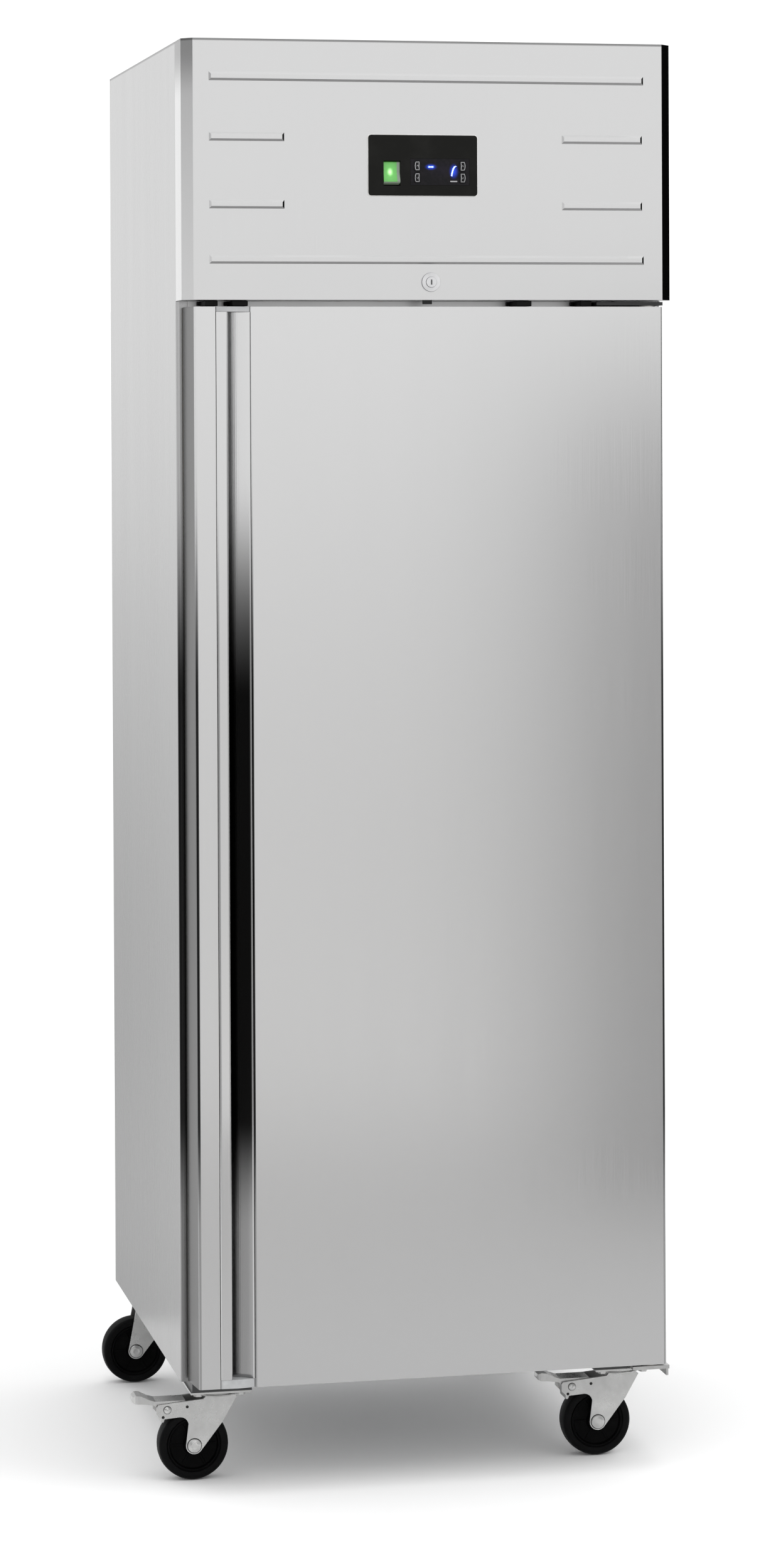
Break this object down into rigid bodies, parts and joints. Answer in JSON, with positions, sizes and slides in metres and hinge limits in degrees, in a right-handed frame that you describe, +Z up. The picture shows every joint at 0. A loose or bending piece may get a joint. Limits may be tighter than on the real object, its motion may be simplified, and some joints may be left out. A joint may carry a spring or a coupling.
{
  "type": "reach in refrigerator",
  "caption": "Upright stainless commercial refrigerator with one insulated door, full-height recessed handle, control fascia, wire shelves and braked castors.",
  "frame": {"origin": "centre of the bounding box footprint, on the floor under the castor wheels", "axes": "-Y out of the door front, +Y out of the back, +Z up, -X out of the handle side"},
  "size_m": [0.7596, 0.75, 2.01],
  "materials": {
    "stainless_door": "vertically brushed stainless sheet",
    "stainless_liner": "fine brushed stainless sheet",
    "galvanised_steel": "galvanised sheet with a soft spangle",
    "dark_steel": "dark powder coat",
    "zinc_plate": "bright zinc plate on pressed steel",
    "foam": "rigid polyurethane foam",
    "cap_plastic": "moulded grey end caps",
    "bezel_plastic": "fine-grained black moulding",
    "display_plastic": "smoked display window",
    "key_plastic": "soft black keys",
    "rocker_lens": "translucent green lens, lit from behind",
    "lock_chrome": "satin nickel",
    "compressor_paint": "black enamel",
    "coil_aluminium": "mill-finish aluminium",
    "motor_black": "black moulded housing",
    "copper": "drawn copper tube",
    "fan_plastic": "white moulding",
    "shelf_coating": "grey-white plastic coating on steel wire",
    "nylon": "natural nylon",
    "gasket_rubber": "dark grey PVC magnetic gasket",
    "wheel_rubber": "black hard rubber tread"
  },
  "bodies": {
    "cabinet": {"side_panel_left": "stainless_door", "side_panel_right": "stainless_door", "back_panel": "galvanised_steel", "bottom_panel": "galvanised_steel", "base_rails": "dark_steel", "cabinet_insulation": "foam", "inner_liner": "stainless_liner", "front_frame": "stainless_liner", "compartment_floor": "galvanised_steel", "rear_grille": "galvanised_steel", "fascia_panel": "stainless_door", "control_bezel": "bezel_plastic", "controller": "display_plastic", "lock_housing": "lock_chrome", "compressor": "compressor_paint", "condenser_coil": "coil_aluminium", "condenser_shroud": "dark_steel", "condenser_fan_motor": "motor_black", "refrigerant_pipes": "copper", "electrical_box": "compressor_paint", "cable_gland": "motor_black", "evaporator_coil": "coil_aluminium", "evaporator_cover": "stainless_liner", "evaporator_fan_motor": "motor_black", "fan_guard": "fan_plastic", "shelf_uprights": "zinc_plate", "shelf_runners": "zinc_plate", "hinge_bracket_top": "dark_steel", "hinge_bracket_bottom": "zinc_plate", "castor_plates": "zinc_plate", "castor_bolts": "zinc_plate"},
    "door": {"door_skin": "stainless_door", "door_insulation": "foam", "door_liner": "stainless_liner", "door_gasket": "gasket_rubber", "handle_profile": "stainless_door", "handle_caps": "cap_plastic", "hinge_bushes": "nylon"},
    "rocker": {"rocker_switch": "rocker_lens"},
    "lock_barrel": {"lock_barrel": "lock_chrome"},
    "lock_bolt": {"lock_bolt": "dark_steel"},
    "condenser_fan": {"condenser_fan": "coil_aluminium"},
    "evaporator_fan": {"evaporator_fan": "fan_plastic"},
    "shelf_lower": {"shelf_lower": "shelf_coating"},
    "shelf_middle": {"shelf_middle": "shelf_coating"},
    "shelf_upper": {"shelf_upper": "shelf_coating"},
    "key_upper_left": {"key_upper_left": "key_plastic"},
    "key_lower_left": {"key_lower_left": "key_plastic"},
    "key_upper_right": {"key_upper_right": "key_plastic"},
    "key_lower_right": {"key_lower_right": "key_plastic"},
    "fork_front_left": {"castor_fork_front_left": "zinc_plate"},
    "wheel_front_left": {"wheel_front_left": "wheel_rubber"},
    "fork_front_right": {"castor_fork_front_right": "zinc_plate"},
    "wheel_front_right": {"wheel_front_right": "wheel_rubber"},
    "fork_rear_left": {"castor_fork_rear_left": "zinc_plate"},
    "wheel_rear_left": {"wheel_rear_left": "wheel_rubber"},
    "fork_rear_right": {"castor_fork_rear_right": "zinc_plate"},
    "wheel_rear_right": {"wheel_rear_right": "wheel_rubber"},
    "pedal_left": {"brake_pedal_left": "zinc_plate"},
    "pedal_right": {"brake_pedal_right": "zinc_plate"}
  },
  "joints": [
    {"name": "door_hinge", "type": "hinge", "parent": "cabinet", "child": "door", "pos_m": [0.34825, -0.348, 0.9], "axis": [0, 0, 1], "range_deg": [0, 110]},
    {"name": "key_upper_left_press", "type": "slide", "parent": "cabinet", "child": "key_upper_left", "axis": [0, 1, 0], "range_m": [0, 0.0008], "stiffness_N_per_m": 400},
    {"name": "key_lower_left_press", "type": "slide", "parent": "cabinet", "child": "key_lower_left", "axis": [0, 1, 0], "range_m": [0, 0.0008], "stiffness_N_per_m": 400},
    {"name": "key_upper_right_press", "type": "slide", "parent": "cabinet", "child": "key_upper_right", "axis": [0, 1, 0], "range_m": [0, 0.0008], "stiffness_N_per_m": 400},
    {"name": "key_lower_right_press", "type": "slide", "parent": "cabinet", "child": "key_lower_right", "axis": [0, 1, 0], "range_m": [0, 0.0008], "stiffness_N_per_m": 400},
    {"name": "rocker_tilt", "type": "hinge", "parent": "cabinet", "child": "rocker", "pos_m": [-0.02275, -0.3619, 1.826], "axis": [1, 0, 0], "range_deg": [0, 20]},
    {"name": "lock_turn", "type": "hinge", "parent": "cabinet", "child": "lock_barrel", "pos_m": [0.03225, -0.37, 1.675], "axis": [0, 1, 0], "range_deg": [0, 90]},
    {"name": "lock_bolt_slide", "type": "slide", "parent": "cabinet", "child": "lock_bolt", "axis": [0, 0, 1], "range_m": [0, 0.006]},
    {"name": "condenser_fan_spin", "type": "hinge", "parent": "cabinet", "child": "condenser_fan", "pos_m": [0.17725, -0.145, 1.788], "axis": [0, 1, 0], "continuous": true},
    {"name": "evaporator_fan_spin", "type": "hinge", "parent": "cabinet", "child": "evaporator_fan", "pos_m": [0.03225, 0.028, 1.507], "axis": [0, 1, 0], "continuous": true},
    {"name": "shelf_lower_slide", "type": "slide", "parent": "cabinet", "child": "shelf_lower", "axis": [0, -1, 0], "range_m": [0, 0.022]},
    {"name": "shelf_middle_slide", "type": "slide", "parent": "cabinet", "child": "shelf_middle", "axis": [0, -1, 0], "range_m": [0, 0.022]},
    {"name": "shelf_upper_slide", "type": "slide", "parent": "cabinet", "child": "shelf_upper", "axis": [0, -1, 0], "range_m": [0, 0.022]},
    {"name": "swivel_front_left", "type": "hinge", "parent": "cabinet", "child": "fork_front_left", "pos_m": [-0.25875, -0.254, 0.11], "axis": [0, 0, 1], "continuous": true},
    {"name": "spin_front_left", "type": "hinge", "parent": "fork_front_left", "child": "wheel_front_left", "pos_m": [-0.29275, -0.254, 0.05], "axis": [0, 1, 0], "continuous": true},
    {"name": "swivel_front_right", "type": "hinge", "parent": "cabinet", "child": "fork_front_right", "pos_m": [0.32325, -0.254, 0.11], "axis": [0, 0, 1], "continuous": true},
    {"name": "spin_front_right", "type": "hinge", "parent": "fork_front_right", "child": "wheel_front_right", "pos_m": [0.28925, -0.254, 0.05], "axis": [0, 1, 0], "continuous": true},
    {"name": "swivel_rear_left", "type": "hinge", "parent": "cabinet", "child": "fork_rear_left", "pos_m": [-0.25875, 0.33, 0.11], "axis": [0, 0, 1], "continuous": true},
    {"name": "spin_rear_left", "type": "hinge", "parent": "fork_rear_left", "child": "wheel_rear_left", "pos_m": [-0.29275, 0.33, 0.05], "axis": [0, 1, 0], "continuous": true},
    {"name": "swivel_rear_right", "type": "hinge", "parent": "cabinet", "child": "fork_rear_right", "pos_m": [0.32325, 0.33, 0.11], "axis": [0, 0, 1], "continuous": true},
    {"name": "spin_rear_right", "type": "hinge", "parent": "fork_rear_right", "child": "wheel_rear_right", "pos_m": [0.28925, 0.33, 0.05], "axis": [0, 1, 0], "continuous": true},
    {"name": "brake_left", "type": "hinge", "parent": "fork_front_left", "child": "pedal_left", "pos_m": [-0.33075, -0.254, 0.102], "axis": [0, -1, 0], "range_deg": [0, 10]},
    {"name": "brake_right", "type": "hinge", "parent": "fork_front_right", "child": "pedal_right", "pos_m": [0.25125, -0.254, 0.102], "axis": [0, -1, 0], "range_deg": [0, 10]}
  ],
  "couplings": [
    {"joint": "lock_bolt_slide", "follows": "lock_turn", "m_per_rad": 0.00381}
  ]
}
